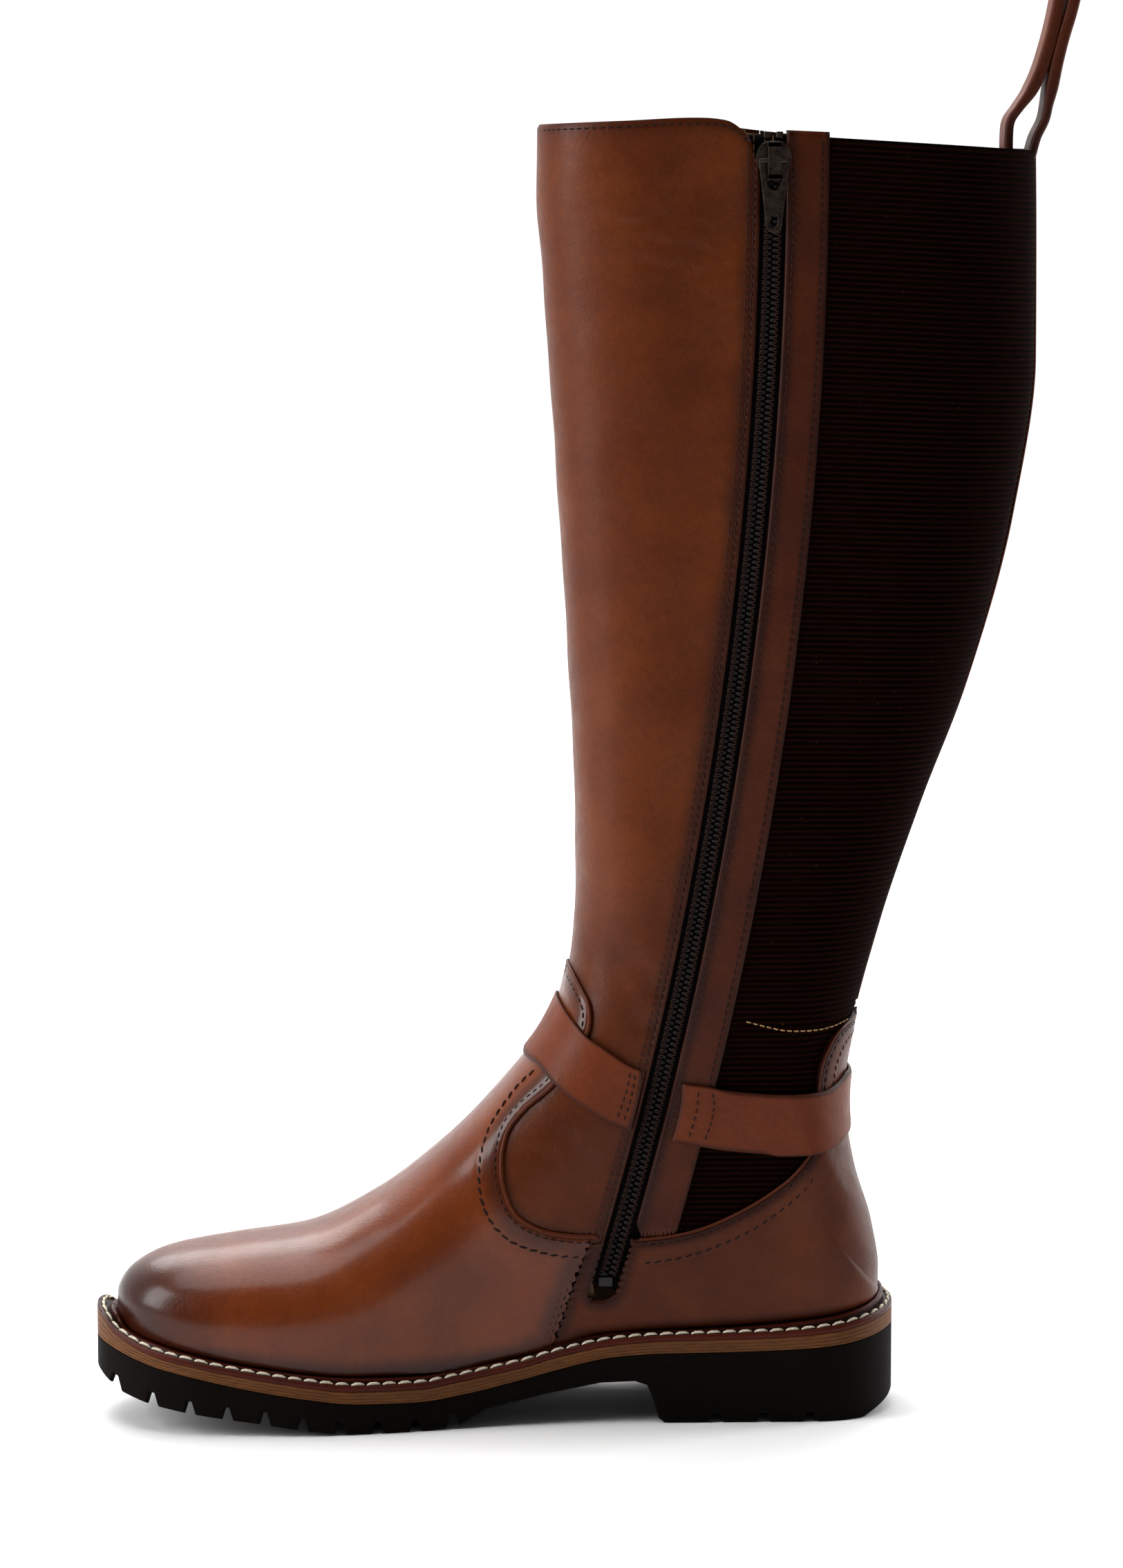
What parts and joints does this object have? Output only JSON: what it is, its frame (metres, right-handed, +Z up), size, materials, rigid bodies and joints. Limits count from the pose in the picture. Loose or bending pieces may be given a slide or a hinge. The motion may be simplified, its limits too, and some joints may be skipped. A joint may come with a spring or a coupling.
{
  "type": "riding boot",
  "caption": "Knee-high right riding boot with a curved side zip, elastic gore, ankle strap, welted lug sole and pull loop.",
  "frame": {"origin": "centre of the boot's bounding box, on the ground plane that the sole stands on", "axes": "+Z up the leg, -X towards the toe, -Y towards the inner side of the leg, which has the zip"},
  "size_m": [0.3331, 0.0985, 0.4885],
  "materials": {
    "rubber_black": "matt moulded rubber",
    "midsole_tan": "sanded layered edge",
    "welt_leather": "burnished, satin",
    "thread_cream": "waxed thread",
    "cork": "granular",
    "steel_shank": "brushed",
    "fibre_board": "pressed fibre",
    "footbed_leather": "matt",
    "leather_dark": "burnished, semi-gloss",
    "leather_brown": "smooth grain, semi-gloss",
    "leather_strap": "smooth grain, satin",
    "stiffener": "matt",
    "elastic_ribbed": "ribbed, matt",
    "lining": "matt",
    "zip_tape": "woven",
    "zip_teeth": "satin",
    "bronze_metal": "dark, aged"
  },
  "bodies": {
    "boot": {"outsole": "rubber_black", "midsole": "midsole_tan", "welt": "welt_leather", "welt_stitching": "thread_cream", "cork_filler": "cork", "shank": "steel_shank", "insole_board": "fibre_board", "footbed": "footbed_leather", "vamp": "leather_dark", "toe_puff": "stiffener", "counter_medial": "leather_dark", "counter_lateral": "leather_dark", "heel_stiffener_medial": "stiffener", "heel_stiffener_lateral": "stiffener", "shaft_front_panel": "leather_brown", "shaft_lateral_panel": "leather_brown", "zip_strip": "leather_brown", "elastic_panel": "elastic_ribbed", "elastic_gusset": "elastic_ribbed", "vamp_lining": "lining", "shaft_lining_front": "lining", "shaft_lining_rear": "lining", "zip_guard": "leather_dark", "zip_tape_front": "zip_tape", "zip_tape_rear": "zip_tape", "zip_teeth_front": "zip_teeth", "zip_teeth_rear": "zip_teeth", "zip_top_stops": "bronze_metal", "zip_bottom_stop": "bronze_metal", "ankle_strap_front": "leather_strap", "ankle_strap_rear": "leather_strap", "strap_keeper": "leather_strap", "buckle_chape": "leather_strap", "pull_loop_anchor": "leather_dark"},
    "slider": {"zip_slider": "bronze_metal"},
    "puller": {"zip_puller": "bronze_metal"},
    "buckle": {"buckle_frame": "bronze_metal"},
    "prong": {"buckle_prong": "bronze_metal"},
    "loop": {"pull_loop": "leather_dark"}
  },
  "joints": [
    {"name": "zip_travel", "type": "hinge", "parent": "boot", "child": "slider", "pos_m": [-1.2505, 0, 0.4235], "axis": [0, 1, 0], "range_deg": [0, 15.8]},
    {"name": "puller_swing", "type": "hinge", "parent": "slider", "child": "puller", "pos_m": [0.0595, -0.0361, 0.4235], "axis": [-1, 0, 0], "range_deg": [0, 170]},
    {"name": "pull_loop_flex", "type": "hinge", "parent": "boot", "child": "loop", "pos_m": [0.1475, 0, 0.4425], "axis": [0, 1, 0], "range_deg": [-60, 65], "stiffness_Nm_per_rad": 0.05},
    {"name": "buckle_lift", "type": "hinge", "parent": "boot", "child": "buckle", "pos_m": [0.03789, 0.0354, 0.10559], "axis": [-0.1564, 0, -0.9877], "range_deg": [0, 25]},
    {"name": "prong_lift", "type": "hinge", "parent": "buckle", "child": "prong", "pos_m": [0.03789, 0.0354, 0.10559], "axis": [-0.1564, 0, -0.9877], "range_deg": [0, 75]}
  ]
}
